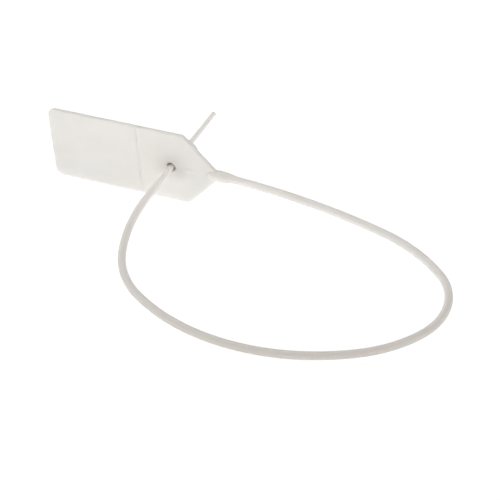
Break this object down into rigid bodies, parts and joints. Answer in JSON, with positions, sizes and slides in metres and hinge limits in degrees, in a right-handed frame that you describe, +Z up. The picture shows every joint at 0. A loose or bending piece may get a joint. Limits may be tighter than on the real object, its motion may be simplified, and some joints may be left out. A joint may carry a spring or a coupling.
{
  "type": "pull-tight security seal",
  "caption": "Pull-tight seal: a flat marking flag with a score line, a round lock chamber behind it, and a round moulded tail looped back through the chamber.",
  "frame": {"origin": "bottom centre of the bounding box, on the surface that the seal rests on", "axes": "+X along the flag from its free end to the tail's root, -Y out of the flag's front towards the loop, +Z up"},
  "size_m": [0.1476, 0.1014, 0.0253],
  "materials": {
    "body_plastic": "white polypropylene, slightly translucent, fine matt moulded skin",
    "insert_steel": "bright rolled stainless strip, stamped",
    "cap_plastic": "white polypropylene, satin"
  },
  "bodies": {
    "root": {"seal_body": "body_plastic", "locking_insert": "insert_steel", "chamber_cap": "cap_plastic"}
  },
  "joints": []
}
